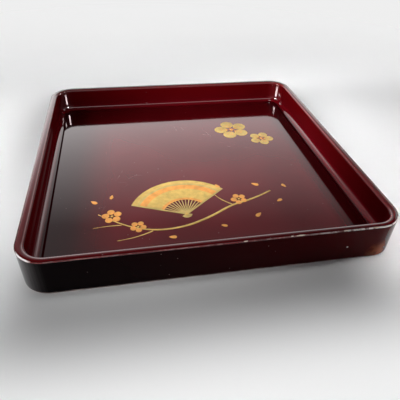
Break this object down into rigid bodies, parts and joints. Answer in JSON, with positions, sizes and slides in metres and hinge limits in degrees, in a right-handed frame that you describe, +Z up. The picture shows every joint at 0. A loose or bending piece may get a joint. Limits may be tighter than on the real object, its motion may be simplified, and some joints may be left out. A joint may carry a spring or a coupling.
{
  "type": "lacquered serving tray",
  "caption": "Square open serving tray with low upright walls, rounded corners and a coved inside angle, lacquered over a joined wooden core, for carrying and serving a meal.",
  "frame": {"origin": "on the table, under the middle of the tray", "axes": "+X to the right along the front wall, +Y from the front wall to the back wall, +Z up"},
  "size_m": [0.303, 0.303, 0.0326],
  "materials": {
    "lacquered_wood": "gloss",
    "lacquered_putty": "gloss",
    "core_wood": "matte",
    "bamboo": "satin",
    "lacquer": "gloss",
    "gold_powder": "satin"
  },
  "bodies": {
    "root": {"front_wall": "lacquered_wood", "back_wall": "lacquered_wood", "left_wall": "lacquered_wood", "right_wall": "lacquered_wood", "front_left_corner": "lacquered_wood", "front_right_corner": "lacquered_wood", "back_left_corner": "lacquered_wood", "back_right_corner": "lacquered_wood", "floor_stave_front": "lacquered_wood", "floor_stave_middle": "lacquered_wood", "floor_stave_back": "lacquered_wood", "cove_fillet": "lacquered_putty", "floor_tongue_front": "core_wood", "floor_tongue_back": "core_wood", "front_wall_left_tenon": "core_wood", "front_wall_right_tenon": "core_wood", "right_wall_front_tenon": "core_wood", "right_wall_back_tenon": "core_wood", "back_wall_right_tenon": "core_wood", "back_wall_left_tenon": "core_wood", "left_wall_back_tenon": "core_wood", "left_wall_front_tenon": "core_wood", "floor_pegs": "bamboo"}
  },
  "joints": []
}
